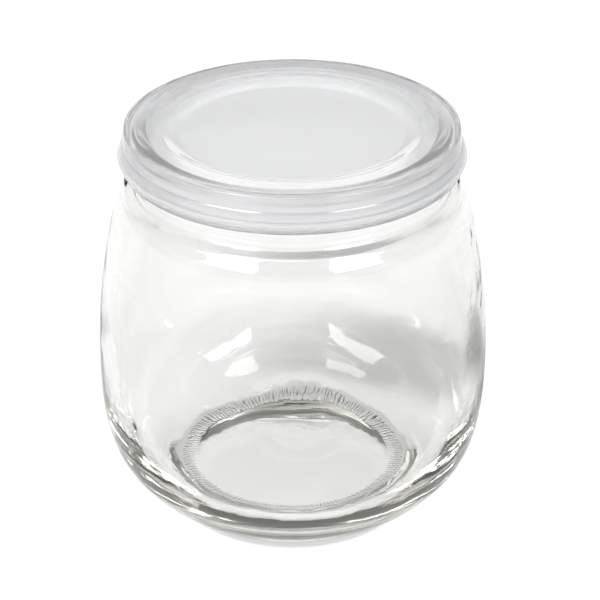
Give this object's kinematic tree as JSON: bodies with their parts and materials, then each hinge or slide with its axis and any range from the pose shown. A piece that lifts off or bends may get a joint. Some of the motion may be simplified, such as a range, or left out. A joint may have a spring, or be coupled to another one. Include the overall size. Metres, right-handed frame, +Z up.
{
  "type": "glass jar with lid",
  "caption": "small empty round-bellied clear glass yoghurt jar with a flared press-on lid of translucent plastic",
  "frame": {"origin": "centre of the ring that the jar stands on", "axes": "+Z up along the jar's axis, which both pieces are turned about; +X and +Y are alike"},
  "size_m": [0.075, 0.075, 0.078],
  "materials": {
    "clear_glass": "polished, slightly wavy",
    "translucent_plastic": "semi-gloss translucent"
  },
  "bodies": {
    "root": {"jar": "clear_glass", "lid": "translucent_plastic"}
  },
  "joints": []
}
